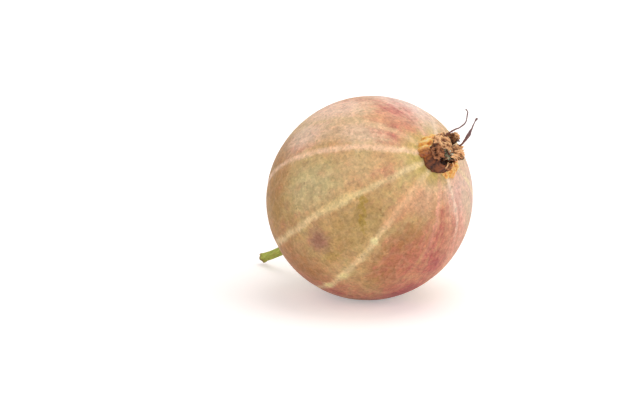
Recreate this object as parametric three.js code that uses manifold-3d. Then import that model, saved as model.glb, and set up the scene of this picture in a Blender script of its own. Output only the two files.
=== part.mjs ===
// A gooseberry: the ripe fruit with its withered flower and a short stalk, lying on a table.
// Millimetres, +Z up. The origin is the middle of the small flat spot that the fruit rests on.
// The fruit's own axis is raised from level, with the flower end up and towards +X.

import * as THREE from "three";
import { mergeVertices } from "three/addons/utils/BufferGeometryUtils.js";
import Module from "manifold-3d";

// Fruit
const equatorRadius = 10.0;
const poleRadius = 10.4; // half the length from stalk end to flower end
const axisTilt = 57; // degrees between upright and the fruit's axis
const restDepth = 0.2; // how much of the round underside the flat spot takes
const flowerRise = -0.2; // the skin is a little flatter around the flower
const flowerRiseRadius = 2.6;
const stalkRise = 0.4; // and swells around the stalk
const stalkRiseRadius = 1.5;
const fruitSegments = 56;
const fruitSteps = 40;

// Stalk
const stalkLength = 7.2;
const stalkRadius = 0.44;
const stalkFootRadius = 1.0; // where it flares onto the fruit
const stalkEndRadius = 0.52; // the swollen end that broke off the plant
const stalkSegments = 20;
const stalkBend = { up: 0.62, side: 0.5 }; // how far its free end drifts off the fruit's axis

// Withered flower
const flowerLean = 2; // degrees that it sits off the fruit's axis
const pieceGap = 0.1; // clearance between a dried piece and its neighbour
const collarInner = 1.72;
const collarSegments = 48;
const collarGap = { angle: -74, halfAngle: 60 }; // where the ring has come away
const tubeFootRadius = 1.45;
const tubeBellyRadius = 1.64;
const tubeMouthRadius = 1.5;
// It sags out through the ring's gap, most of all at its foot.
const tubeBulge = { angle: -76, halfAngle: 38, atFoot: 0.75, atMouth: 0.2, sag: 0.1 };
const tubeHeight = 1.15;
const tubeWall = 0.3;
const tubeFloor = 0.5;
const tubeSegments = 36;
const tear = { angle: 14, width: 0.5, bottom: 0.7 }; // the split in the tube's wall
const sepalThickness = 0.24;
const sepalWrap = 1.4; // the radius that a sepal's width is curled to
const filamentRadius = 0.11;
const filamentSides = 4; // segments to a half turn
const styleRadius = 0.16;

// The collar's size round the flower: angle, height of its crest, radius of its foot.
const collarSizes = [
  [-30, 0.4, 1.98],
  [24, 0.62, 2.46],
  [52, 0.85, 2.4],
  [120, 1.0, 2.05],
  [190, 1.1, 2.15],
  [226, 1.15, 2.3],
];

// Each dried sepal stands on the tube's rim at its own angle round the flower. Its middle line
// is given as radius and height above the skin, from the rim to the tip.
const sepals = [
  { angle: -93, width: 1.4, line: [[1.56, 1.3], [1.86, 1.54], [1.64, 1.88], [1.15, 1.86], [0.8, 1.7]] },
  { angle: -150, width: 1.2, line: [[1.45, 1.3], [1.74, 1.56], [1.62, 1.98], [1.1, 2.16], [0.55, 2.08]] },
  { angle: 138, width: 1.35, line: [[1.36, 1.3], [1.64, 1.7], [1.78, 2.1], [1.54, 2.46], [1.08, 2.44]] },
  { angle: 61, width: 1.2, line: [[1.4, 1.3], [1.66, 1.6], [1.58, 1.98], [1.1, 2.18], [0.62, 2.2]] },
  { angle: -16, width: 0.8, line: [[1.4, 1.3], [1.54, 1.42], [1.48, 1.6], [1.26, 1.7]] },
];

// Each stamen's route, in the flower's own frame: across, across and up from the skin. The first
// two are whole and stand out beyond the sepals, the others broke off inside the mouth.
const stamens = [
  [[-0.78, 0.03, 0.62], [-0.95, 0.03, 1.2], [-1.28, 0.03, 1.75], [-1.46, 0.06, 2.3],
    [-1.52, 0.4, 2.95], [-1.53, 0.85, 3.45], [-1.72, 1.3, 3.85], [-2.2, 1.6, 4.1],
    [-2.62, 1.7, 4.36], [-2.9, 1.6, 4.4]],
  [[-0.07, 0.76, 0.62], [-0.08, 0.98, 1.45], [-0.12, 1.3, 2.1], [-0.25, 1.46, 2.65],
    [-0.58, 1.7, 3.15], [-1.01, 2.0, 3.64], [-1.4, 2.2, 4.06], [-1.8, 2.48, 4.48]],
  [[0.74, 0.33, 0.62], [0.86, 0.3, 1.2], [0.98, 0.32, 1.5], [1.06, 0.4, 1.72]],
  [[0.6, -0.36, 0.62], [0.64, -0.4, 1.1], [0.66, -0.44, 1.6]],
  [[-0.15, -0.78, 0.62], [-0.17, -0.82, 1.0], [-0.2, -0.88, 1.35]],
];

// The style stands in the middle and forks into two branches.
const styleStem = [[0, 0, 0.62], [0.08, -0.02, 1.1], [0.2, -0.06, 1.6]];
const styleBranches = [
  [[0.18, -0.05, 1.5], [0.38, -0.06, 1.8], [0.56, -0.02, 2.02]],
  [[0.18, -0.05, 1.5], [0.16, -0.2, 1.85], [0.2, -0.3, 2.1]],
];

const wasm = await Module();
wasm.setup();

const radians = THREE.MathUtils.degToRad;
const lerp = THREE.MathUtils.lerp;
const tilt = radians(axisTilt);

// An angle in radians brought between minus and plus half a turn.
function wrapped(angle) {
  return Math.atan2(Math.sin(angle), Math.cos(angle));
}

// Height of the skin above the fruit's middle, at a radius from the axis, at one of its two ends.
function skinHeight(radius, rise, riseRadius) {
  const round = poleRadius * Math.sqrt(1 - (radius / equatorRadius) ** 2);
  return round + rise * Math.exp(-((radius / riseRadius) ** 2));
}

const flowerSeat = skinHeight(0, flowerRise, flowerRiseRadius);
const stalkSeat = skinHeight(0, stalkRise, stalkRiseRadius);

// The same, counted from the middle of the flower's seat.
function flowerSkin(radius) {
  return skinHeight(radius, flowerRise, flowerRiseRadius) - flowerSeat;
}

// The tilted fruit touches the table at one point: how far the fruit's middle is above it, and
// how far along +X from it.
const touchDistance = Math.hypot(equatorRadius * Math.sin(tilt), poleRadius * Math.cos(tilt));
const touchOffset =
  ((poleRadius ** 2 - equatorRadius ** 2) * Math.sin(tilt) * Math.cos(tilt)) / touchDistance;
const fruitMiddle = new THREE.Vector3(touchOffset, 0, touchDistance - restDepth);

function toSolid(geometry) {
  const bare = geometry.clone();
  bare.deleteAttribute("normal");
  bare.deleteAttribute("uv");
  const merged = mergeVertices(bare, 1e-4);
  return new wasm.Manifold(
    new wasm.Mesh({
      numProp: 3,
      vertProperties: merged.attributes.position.array,
      triVerts: new Uint32Array(merged.index.array),
    }),
  );
}

function toGeometry(solid) {
  const mesh = solid.getMesh();
  const geometry = new THREE.BufferGeometry();
  geometry.setAttribute("position", new THREE.BufferAttribute(mesh.vertProperties, mesh.numProp));
  geometry.setIndex(new THREE.BufferAttribute(mesh.triVerts, 1));
  geometry.computeVertexNormals();
  return geometry;
}

// A profile of [radius, height] pairs turned about +Z.
function turned(profile, segments) {
  const points = profile.map(([radius, height]) => new THREE.Vector2(radius, height));
  return new THREE.LatheGeometry(points, segments).rotateX(Math.PI / 2);
}

// Moves every vertex of a geometry by a rule that gets it as a vector and changes it.
function reshape(geometry, rule) {
  const position = geometry.attributes.position;
  const vertex = new THREE.Vector3();
  for (let i = 0; i < position.count; i++) {
    rule(vertex.fromBufferAttribute(position, i));
    position.setXYZ(i, vertex.x, vertex.y, vertex.z);
  }
  return geometry;
}

function swept(route, radius, steps) {
  const circle = new THREE.Shape();
  circle.absarc(0, 0, radius, 0, 2 * Math.PI);
  return new THREE.ExtrudeGeometry(circle, {
    extrudePath: new THREE.CatmullRomCurve3(route.map((point) => new THREE.Vector3(...point))),
    steps,
    curveSegments: filamentSides,
    bevelEnabled: false,
  });
}

function skin(color, roughness) {
  return new THREE.MeshStandardMaterial({ color, roughness, metalness: 0 });
}

function piece(name, geometry, material) {
  const mesh = new THREE.Mesh(geometry, material);
  mesh.name = name;
  return mesh;
}

// The whole fruit from stalk end to flower end, cut flat where it rests.
function berryGeometry() {
  const profile = [];
  for (let step = 0; step <= fruitSteps; step++) {
    const angle = (Math.PI * step) / fruitSteps;
    const radius = step === 0 || step === fruitSteps ? 0 : equatorRadius * Math.sin(angle);
    const height =
      angle < Math.PI / 2
        ? -skinHeight(radius, stalkRise, stalkRiseRadius)
        : skinHeight(radius, flowerRise, flowerRiseRadius);
    profile.push([radius, height]);
  }
  const fruit = turned(profile, fruitSegments).rotateY(tilt);
  fruit.translate(fruitMiddle.x, fruitMiddle.y, fruitMiddle.z);
  const side = 4 * equatorRadius;
  const table = new THREE.BoxGeometry(side, side, side).translate(0, 0, -side / 2);
  return toGeometry(toSolid(fruit).subtract(toSolid(table)));
}

// A slim turned stalk with a flared foot, bent so that its free end clears the table.
function stalkGeometry() {
  const foot = -stalkSeat - pieceGap;
  const end = foot - stalkLength;
  const geometry = turned(
    [
      [0, end],
      [stalkEndRadius * 0.8, end + 0.05],
      [stalkEndRadius, end + 0.35],
      [stalkEndRadius * 0.96, end + 0.8],
      [stalkRadius, end + 1.6],
      [stalkRadius * 0.94, (foot + end) / 2],
      [stalkRadius * 1.02, foot - 1.8],
      [stalkRadius * 1.2, foot - 1.0],
      [stalkFootRadius * 0.82, foot - 0.35],
      [stalkFootRadius, foot + skinDrop(stalkFootRadius)],
      [0, foot],
    ],
    stalkSegments,
  );
  return reshape(geometry, (vertex) => {
    const along = Math.max(0, (foot - vertex.z) / stalkLength);
    vertex.x -= stalkBend.up * along ** 2;
    vertex.y += stalkBend.side * along ** 2;
  });
}

// How far the stalk end's skin has curved back at a radius from the axis.
function skinDrop(radius) {
  return stalkSeat - skinHeight(radius, stalkRise, stalkRiseRadius);
}

// The collar's row of sizes at an angle, between the two rows on either side of it. There are
// none past the last row: the ring is open there.
function collarSize(angle) {
  const first = collarSizes[0][0];
  const past = THREE.MathUtils.euclideanModulo(THREE.MathUtils.radToDeg(angle) - first, 360);
  const next = collarSizes.findIndex((size) => size[0] - first > past);
  if (next === -1) {
    return collarSizes.at(-1);
  }
  const low = collarSizes[next - 1];
  const high = collarSizes[next];
  const share = (past + first - low[0]) / (high[0] - low[0]);
  return low.map((value, column) => lerp(value, high[column], share));
}

// The dry ring that the tube stands in, taller on one side than on the other and open at its gap.
function collarGeometry() {
  // Radius as one plus a share of the width, height as a share of the crest's height.
  const section = [[1, 0], [2, 0], [2.02, 0.3], [1.85, 0.72], [1.5, 1], [1.2, 0.98], [1, 0.8], [1, 0]];
  const ring = reshape(turned(section, collarSegments), (vertex) => {
    const angle = Math.atan2(vertex.y, vertex.x);
    const [, crest, footRadius] = collarSize(angle);
    const radius = lerp(collarInner, footRadius, Math.hypot(vertex.x, vertex.y) - 1);
    const foot = flowerSkin(radius) + pieceGap;
    vertex.set(radius * Math.cos(angle), radius * Math.sin(angle), lerp(foot, crest, vertex.z));
  });
  const reach = 3 * collarInner;
  const sector = new THREE.Shape();
  sector.moveTo(0, 0);
  sector.lineTo(reach, -reach * Math.tan(radians(collarGap.halfAngle)));
  sector.lineTo(reach, reach * Math.tan(radians(collarGap.halfAngle)));
  const wedge = new THREE.ExtrudeGeometry(sector, { depth: 2 * reach, bevelEnabled: false });
  wedge.translate(0, 0, -reach).rotateZ(radians(collarGap.angle));
  return toGeometry(toSolid(ring).subtract(toSolid(wedge)));
}

// The dried tube of the flower, a cup with a bulge on one side and a split in its wall.
function tubeGeometry() {
  const foot = flowerSkin(tubeFootRadius) + pieceGap;
  const halfFoot = tubeFootRadius / 2;
  const cup = turned(
    [
      [0, pieceGap],
      [halfFoot, flowerSkin(halfFoot) + pieceGap],
      [tubeFootRadius, foot],
      [tubeFootRadius + 0.02, foot + 0.3],
      [tubeBellyRadius, tubeHeight / 2],
      [tubeMouthRadius, tubeHeight],
      [tubeMouthRadius - tubeWall, tubeHeight],
      [tubeMouthRadius - tubeWall - 0.1, tubeFloor],
      [0, tubeFloor],
    ],
    tubeSegments,
  );
  reshape(cup, (vertex) => {
    const round = Math.hypot(vertex.x, vertex.y);
    const off = Math.atan2(vertex.y, vertex.x) - radians(tubeBulge.angle);
    const near = Math.exp(-((wrapped(off) / radians(tubeBulge.halfAngle)) ** 2));
    const share = THREE.MathUtils.clamp(vertex.z / tubeHeight, 0, 1);
    const out = near * lerp(tubeBulge.atFoot, tubeBulge.atMouth, share);
    const grow = round > halfFoot ? 1 + out / round : 1;
    vertex.set(vertex.x * grow, vertex.y * grow, vertex.z);
    if (vertex.z < tubeFloor && round > halfFoot) {
      vertex.z = Math.max(vertex.z - tubeBulge.sag * near, flowerSkin(round * grow) + pieceGap);
    }
  });
  const length = tubeBellyRadius;
  const split = new THREE.BoxGeometry(length, tear.width, tubeHeight);
  split.translate(tubeMouthRadius - 2 * tubeWall + length / 2, 0, tear.bottom + tubeHeight / 2);
  split.rotateZ(radians(tear.angle));
  return toGeometry(toSolid(cup).subtract(toSolid(split)));
}

// A lens-shaped blade bent along its middle line and wrapped round the flower: a ball whose
// height becomes the way along the line, made blunter at its two ends.
function sepalGeometry({ angle, width, line }) {
  const middle = new THREE.CatmullRomCurve3(line.map(([r, h]) => new THREE.Vector3(r, 0, h)));
  const blade = reshape(new THREE.SphereGeometry(1, 12, 12), (vertex) => {
    const blunt = 1 / Math.sqrt(Math.max(0.01, Math.hypot(vertex.x, vertex.z)));
    const turn = (vertex.x * blunt * width) / 2 / sepalWrap;
    const out = (vertex.z * sepalThickness) / 2;
    const point = middle.getPoint((1 + vertex.y) / 2);
    const heading = middle.getTangent((1 + vertex.y) / 2);
    const radius = point.x + out * heading.z;
    vertex.set(radius * Math.cos(turn), radius * Math.sin(turn), point.z - out * heading.x);
  });
  return blade.rotateZ(radians(angle));
}

function styleGeometry() {
  let solid = toSolid(swept(styleStem, styleRadius, 5));
  for (const branch of styleBranches) {
    solid = solid.add(toSolid(swept(branch, styleRadius * 0.75, 6)));
  }
  return toGeometry(solid);
}

const gooseberry = new THREE.Group();
gooseberry.add(piece("berry", berryGeometry(), skin("#c99c78", 0.45)));

const fruitFrame = new THREE.Group();
fruitFrame.position.copy(fruitMiddle);
fruitFrame.rotation.y = tilt;
gooseberry.add(fruitFrame);
fruitFrame.add(piece("stalk", stalkGeometry(), skin("#8f9a3c", 0.6)));

const flowerFrame = new THREE.Group();
flowerFrame.rotation.x = -radians(flowerLean);
fruitFrame.add(flowerFrame);

const flower = new THREE.Group();
flower.position.z = flowerSeat;
flowerFrame.add(flower);
flower.add(piece("calyx_collar", collarGeometry(), skin("#d9914a", 0.55)));
flower.add(piece("calyx_tube", tubeGeometry(), skin("#5e362a", 0.8)));
sepals.forEach((sepal, index) => {
  flower.add(piece(`sepal_${index + 1}`, sepalGeometry(sepal), skin("#8a5a3c", 0.85)));
});
flower.add(piece("style", styleGeometry(), skin("#8d8468", 0.8)));
stamens.forEach((route, index) => {
  const stamen = swept(route, filamentRadius, 3 * route.length);
  flower.add(piece(`stamen_${index + 1}`, stamen, skin("#6b4638", 0.7)));
});

export default gooseberry;
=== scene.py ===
import math
import random

import bpy
from mathutils import Matrix, Vector, noise


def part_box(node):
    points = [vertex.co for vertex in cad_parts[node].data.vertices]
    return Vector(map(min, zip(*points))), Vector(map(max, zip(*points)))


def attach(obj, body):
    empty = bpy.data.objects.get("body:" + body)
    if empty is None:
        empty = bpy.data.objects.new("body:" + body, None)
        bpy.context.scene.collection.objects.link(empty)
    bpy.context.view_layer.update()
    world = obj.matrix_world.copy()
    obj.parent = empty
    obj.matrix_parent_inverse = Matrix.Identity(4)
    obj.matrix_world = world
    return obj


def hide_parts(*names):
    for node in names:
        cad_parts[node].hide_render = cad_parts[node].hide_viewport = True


# A ripe gooseberry with its withered flower and short stalk, lying on white card.
# Lengths are in millimetres unless a line says otherwise; mm turns them into metres.
mm = 0.001

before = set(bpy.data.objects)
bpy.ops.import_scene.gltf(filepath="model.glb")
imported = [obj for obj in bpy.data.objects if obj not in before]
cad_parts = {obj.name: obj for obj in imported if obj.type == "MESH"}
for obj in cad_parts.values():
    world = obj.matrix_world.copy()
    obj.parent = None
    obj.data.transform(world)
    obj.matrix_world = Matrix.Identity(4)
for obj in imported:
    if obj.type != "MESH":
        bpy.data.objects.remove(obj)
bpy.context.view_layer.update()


def hexColor(text):
    # sRGB hex to the linear colour that shaders take
    channels = [int(text[i:i + 2], 16) / 255 for i in (1, 3, 5)]
    linear = [c / 12.92 if c <= 0.04045 else ((c + 0.055) / 1.055) ** 2.4 for c in channels]
    return (*linear, 1.0)


def smooth(low, high, value):
    t = min(1.0, max(0.0, (value - low) / (high - low)))
    return t * t * (3 - 2 * t)


def smoothRoute(points, count):
    # evenly numbered points on a smooth line through the given ones
    points = [Vector(p) for p in points]
    ends = [points[0] * 2 - points[1]] + points + [points[-1] * 2 - points[-2]]
    route = []
    for i in range(count):
        place = i / (count - 1) * (len(points) - 1)
        k = min(int(place), len(points) - 2)
        t = place - k
        a, b, c, d = ends[k:k + 4]
        route.append(0.5 * (2 * b + (c - a) * t + (2 * a - 5 * b + 4 * c - d) * t * t
                            + (3 * b - a - 3 * c + d) * t * t * t))
    return route


def addNode(tree, kind, settings=None, links=None):
    # A setting that the node itself has goes on it, any other to the input of that name or number.
    # A link comes from a socket, or from the first output that a node has in use.
    node = tree.nodes.new("ShaderNode" + kind)
    for name, value in (settings or {}).items():
        if isinstance(value, str) and value.startswith("#"):
            value = hexColor(value)
        if isinstance(name, str) and hasattr(node, name):
            setattr(node, name, value)
        else:
            node.inputs[name].default_value = value
    for socket, source in (links or {}).items():
        if isinstance(source, bpy.types.Node):
            source = next(output for output in source.outputs if output.enabled)
        tree.links.new(source, node.inputs[socket])
    return node


softEnds = {"interpolation_type": "SMOOTHSTEP"}  # for a MapRange with no corner at its ends


def ownSpace(tree, matrix):
    # the place on a piece in mm, as seen from where the matrix stands
    coords = addNode(tree, "TexCoord")
    return addNode(tree, "Mapping", {
        "vector_type": "TEXTURE", "Location": matrix.to_translation(), "Rotation": matrix.to_euler(),
        "Scale": (mm, mm, mm)}, {"Vector": coords.outputs["Object"]})


def newMaterial(name):
    material = bpy.data.materials.new(name)
    material.use_nodes = True
    material.node_tree.nodes.clear()
    return material, material.node_tree


def layOver(tree, color, pattern, layer):
    # A colour laid over the one below. A layer says where in the pattern it begins and is full,
    # how much of it then shows, and its colour.
    (start, full), share, tone = layer
    mask = addNode(tree, "MapRange", {
        **softEnds, "From Min": start, "From Max": full, "To Max": share}, {"Value": pattern})
    return addNode(tree, "Mix", {"data_type": "RGBA", 7: tone}, {0: mask, 6: color})


def addSurface(tree, color, height, relief, settings):
    # the material's shader with its fine bumps, whose strength and depth in mm are in relief
    bump = addNode(tree, "Bump", {"Strength": relief[0], "Distance": relief[1] * mm}, {"Height": height})
    surface = addNode(tree, "BsdfPrincipled", settings, {"Base Color": color, "Normal": bump})
    addNode(tree, "OutputMaterial", None, {"Surface": surface})


def pick(piece):
    # this piece alone is selected and active, in object mode
    if bpy.context.object and bpy.context.object.mode != "OBJECT":
        bpy.ops.object.mode_set(mode="OBJECT")
    bpy.ops.object.select_all(action="DESELECT")
    if piece:
        piece.select_set(True)
        bpy.context.view_layer.objects.active = piece


def editAll():
    # edit mode, with the whole mesh of the active piece selected
    bpy.ops.object.mode_set(mode="EDIT")
    bpy.ops.mesh.select_all(action="SELECT")


def applyModifier(piece, kind, **settings):
    pick(piece)
    modifier = piece.modifiers.new(kind.lower(), kind)
    for name, value in settings.items():
        setattr(modifier, name, value)
    bpy.ops.object.modifier_apply(modifier=modifier.name)


def vertexNumbers(piece, *names):
    # named numbers, one for every vertex, that the material reads
    for name in names:
        piece.data.attributes.new(name, "FLOAT", "POINT")
    return [piece.data.attributes[name].data for name in names]


def reshape(piece, rule):
    # sculpting in code: every vertex, in mm, goes where the rule says
    for vertex in piece.data.vertices:
        vertex.co = rule(vertex.co / mm) * mm
    piece.data.update()


def settle(piece, matrix):
    # a piece modelled upright goes to its place, with the place in its mesh
    pick(piece)
    piece.matrix_world = matrix
    bpy.ops.object.transform_apply(location=True, rotation=True, scale=True)


def closeUp(piece):
    # doubles merged and faces turned outwards
    pick(piece)
    editAll()
    bpy.ops.mesh.remove_doubles(threshold=0.002 * mm)
    bpy.ops.mesh.normals_make_consistent(inside=False)
    bpy.ops.object.mode_set(mode="OBJECT")


def finishPiece(piece, node, material):
    pick(piece)
    bpy.ops.object.shade_smooth()
    piece.data.materials.clear()
    piece.data.materials.append(material)
    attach(piece, "root")
    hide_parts(node)
    print(node, len(piece.data.polygons), "faces")


def stackRings(name, count, rings):
    # a circle extruded from ring to ring, each given as (radius, height), closed at both ends
    pick(None)
    radius, height = rings[0]
    bpy.ops.mesh.primitive_circle_add(vertices=count, radius=radius * mm, fill_type="NGON",
                                      location=(0, 0, height * mm))
    piece = bpy.context.object
    piece.name = name
    bpy.ops.object.transform_apply(location=True, rotation=False, scale=False)
    editAll()
    for nextRadius, nextHeight in rings[1:]:
        bpy.ops.mesh.extrude_region_move(
            TRANSFORM_OT_translate={"value": (0, 0, (nextHeight - height) * mm)})
        scale = nextRadius / radius
        bpy.ops.transform.resize(value=(scale, scale, 1))
        radius, height = nextRadius, nextHeight
    bpy.ops.object.mode_set(mode="OBJECT")
    closeUp(piece)
    return piece


def makeStrand(name, route, thickness, sides=3):
    # a thin round strand along a route; thickness gives the radius at each share of its length
    pick(None)
    bpy.ops.curve.primitive_nurbs_path_add(location=(0, 0, 0))
    strand = bpy.context.object
    strand.name = name
    strand.data.bevel_depth = mm
    strand.data.bevel_resolution = sides
    strand.data.use_fill_caps = True
    spline = strand.data.splines[0]
    spline.type = "POLY"
    spline.points.add(len(route) - len(spline.points))
    for i, (point, place) in enumerate(zip(spline.points, route)):
        point.co = (*(place * mm), 1)
        point.radius = thickness(i / (len(route) - 1))
    bpy.ops.object.convert(target="MESH")
    strand = bpy.context.object
    along, = vertexNumbers(strand, "along")
    for vertex in strand.data.vertices:
        near = min(range(len(route)), key=lambda i: (route[i] - vertex.co / mm).length_squared)
        along[vertex.index].value = near / (len(route) - 1)
    closeUp(strand)
    return strand


def joinPieces(pieces):
    pick(pieces[0])
    for piece in pieces[1:]:
        piece.select_set(True)
    bpy.ops.object.join()
    return pieces[0]


fruitShape = {
    "axisTilt": math.radians(57),  # from upright to the fruit's own axis, towards +X
    "flowerRise": -0.2,  # the skin is a little flatter round the flower
    "flowerRiseRadius": 2.6,
    "stalkRise": 0.4,  # and swells round the stalk
    "stalkRiseRadius": 1.5,
    "flowerLean": math.radians(2),
}


def fruitPlace():
    # the fruit's middle and its two radii, worked back from its box
    low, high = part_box("berry")
    tilt = fruitShape["axisTilt"]
    equator = (high.y - low.y) / 2
    halfLong = (high.x - low.x) / 2
    pole = math.sqrt(halfLong ** 2 - (equator * math.cos(tilt)) ** 2) / math.sin(tilt)
    halfHigh = math.hypot(equator * math.sin(tilt), pole * math.cos(tilt))
    middle = Vector(((low.x + high.x) / 2, (low.y + high.y) / 2, high.z - halfHigh))
    return middle, equator / mm, pole / mm


fruitMiddle, equatorRadius, poleRadius = fruitPlace()
fruitMatrix = Matrix.Translation(fruitMiddle) @ Matrix.Rotation(fruitShape["axisTilt"], 4, "Y")
print("fruit radii", round(equatorRadius, 2), round(poleRadius, 2), "middle", fruitMiddle[:])


def skinHeight(radius, rise, riseRadius):
    # height of the skin above the fruit's middle, at a radius from its axis
    dome = poleRadius * math.sqrt(1 - (radius / equatorRadius) ** 2)
    return dome + rise * math.exp(-(radius / riseRadius) ** 2)


flowerSeat = skinHeight(0, fruitShape["flowerRise"], fruitShape["flowerRiseRadius"])
stalkSeat = skinHeight(0, fruitShape["stalkRise"], fruitShape["stalkRiseRadius"])
flowerMatrix = (
    fruitMatrix
    @ Matrix.Rotation(-fruitShape["flowerLean"], 4, "X")
    @ Matrix.Translation((0, 0, flowerSeat * mm))
)


def flowerSkin(radius):
    # height of the skin at a radius, measured from the flower's seat
    return skinHeight(radius, fruitShape["flowerRise"], fruitShape["flowerRiseRadius"]) - flowerSeat


cameraSettings = {
    "azimuth": math.radians(44.3),
    "elevation": math.radians(15),
    "distance": 0.30,  # metres
    "viewWidth": 0.0618,  # metres across the view at the fruit
    "sensor": 36.0,
    "fruitRight": 5.34,  # how far the fruit's middle is right of and above the view's centre
    "fruitUp": 1.11,
}


def makeCamera():
    s = cameraSettings
    az, el = s["azimuth"], s["elevation"]
    back = Vector((math.sin(az) * math.cos(el), -math.cos(az) * math.cos(el), math.sin(el)))
    right = Vector((math.cos(az), math.sin(az), 0))
    up = back.cross(right)
    aim = fruitMiddle - right * s["fruitRight"] * mm - up * s["fruitUp"] * mm
    data = bpy.data.cameras.new("camera")
    data.sensor_width = s["sensor"]
    data.lens = s["sensor"] * s["distance"] / s["viewWidth"]
    data.clip_start = 0.01
    camera = bpy.data.objects.new("camera", data)
    bpy.context.scene.collection.objects.link(camera)
    camera.location = aim + back * s["distance"]
    camera.rotation_euler = Matrix((right, up, back)).transposed().to_euler()
    bpy.context.scene.camera = camera


lampSettings = {
    # direction to the lamp, its distance and size in metres, and its power in watts
    "overhead": {"toward": (0.15, 0.25, 1.0), "distance": 0.45, "size": 0.42, "power": 0.85},
    "rightFill": {"toward": (1.0, 0.35, 0.55), "distance": 0.45, "size": 0.3, "power": 0.42},
    "frontFill": {"toward": (0.35, -1.0, 0.45), "distance": 0.5, "size": 0.35, "power": 0.36},
}
roomSettings = {
    "light": 0.58,  # what the room gives the fruit; seen itself, it is white
    "cardSize": 3.0,  # metres
    "cardColor": "#F4EBE8",
    "cardLift": (0.34, 0.62),  # added only to what the camera sees of the card, near and far
    "cardFar": (0.05, 0.3),  # metres over which near becomes far
}


def seenItself(tree):
    # 1 where the camera, a mirror or clear glass looks straight at the thing
    path = addNode(tree, "LightPath")
    seen = addNode(tree, "Math", {"operation": "MAXIMUM"},
                   {0: path.outputs["Is Camera Ray"], 1: path.outputs["Is Glossy Ray"]})
    return addNode(tree, "Math", {"operation": "MAXIMUM"},
                   {0: seen, 1: path.outputs["Is Transmission Ray"]})


def makeLights():
    for name, lamp in lampSettings.items():
        data = bpy.data.lights.new(name, "AREA")
        data.shape = "DISK"
        data.size = lamp["size"]
        data.energy = lamp["power"]
        light = bpy.data.objects.new(name, data)
        bpy.context.scene.collection.objects.link(light)
        toward = Vector(lamp["toward"]).normalized()
        light.location = fruitMiddle + toward * lamp["distance"]
        light.rotation_euler = toward.to_track_quat("Z", "Y").to_euler()
    world = bpy.data.worlds.new("white room")
    bpy.context.scene.world = world
    world.use_nodes = True
    tree = world.node_tree
    tree.nodes.clear()
    strength = addNode(tree, "MapRange", {"To Min": roomSettings["light"], "To Max": 1.0},
                       {"Value": seenItself(tree)})
    background = addNode(tree, "Background", {"Color": (1, 1, 1, 1)}, {"Strength": strength})
    addNode(tree, "OutputWorld", None, {"Surface": background})


def makeTable():
    pick(None)
    bpy.ops.mesh.primitive_plane_add(size=roomSettings["cardSize"], location=(0, 0, 0))
    table = bpy.context.object
    table.name = "table"
    # Plain card with no gloss: it shows only the fruit's soft shadow.
    material, tree = newMaterial("matt white card")
    card = addNode(tree, "BsdfDiffuse", {"Color": roomSettings["cardColor"]})
    coords = addNode(tree, "TexCoord")
    away = addNode(tree, "VectorMath", {"operation": "LENGTH"}, {0: coords.outputs["Object"]})
    lift = addNode(tree, "MapRange", {
        "From Min": roomSettings["cardFar"][0], "From Max": roomSettings["cardFar"][1],
        "To Min": roomSettings["cardLift"][0], "To Max": roomSettings["cardLift"][1]},
        {"Value": away})
    lift = addNode(tree, "Math", {"operation": "MULTIPLY"}, {0: lift, 1: seenItself(tree)})
    glow = addNode(tree, "Emission", {"Color": (1, 1, 1, 1)}, {"Strength": lift})
    both = addNode(tree, "AddShader", None, {0: card, 1: glow})
    addNode(tree, "OutputMaterial", None, {"Surface": both})
    table.data.materials.append(material)


berryShape = {
    "segments": 256,
    "rings": 144,
    "veinDepth": 0.03,
    "veinEnds": (0.6, 2.2),  # distance from the fruit's axis over which the veins come in
    "unevenness": 0.05,  # of the round shape
    "unevenSize": 9,
    "unevenSeed": Vector((3.1, 0.4, 7.7)),
    "pebble": 0.012,  # of the skin
    "pebbleSize": 0.55,
}

# Pale veins run from the stalk to the flower. Each has its angle round the fruit's axis in
# degrees, how far it turns on its way to the flower, its width, and how clearly it shows; some
# fade out at an angle down from the flower.
veins = {
    "main": {"angle": -85, "turn": 0, "width": 0.58, "color": "#E6CC9C", "show": 0.8},
    "lower": {"angle": -48, "turn": -9, "width": 0.58, "color": "#E8CE9C", "show": 0.78},
    "right": {"angle": -14, "turn": 0, "width": 0.5, "color": "#EBAE96", "show": 0.5,
     "until": 52},
    "limb": {"angle": 14, "turn": 0, "width": 0.45, "color": "#F0D6BC", "show": 0.7,
     "until": 46},
    "farRight": {"angle": 56, "turn": 3, "width": 0.55, "color": "#E4CFA2", "show": 0.75},
    "behind": {"angle": 98, "turn": -3, "width": 0.55, "color": "#E6CBA4", "show": 0.75},
    "farTop": {"angle": 139, "turn": 2, "width": 0.55, "color": "#E9CDB2", "show": 0.7},
    "ridge": {"angle": 176, "turn": 0, "width": 0.5, "color": "#E9BBA4", "show": 0.4},
    "top": {"angle": -148, "turn": 4, "width": 0.55, "color": "#E0BE94", "show": 0.65},
    "upper": {"angle": -124, "turn": 6, "width": 0.56, "color": "#F2CAA8", "show": 0.82},
}


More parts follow.
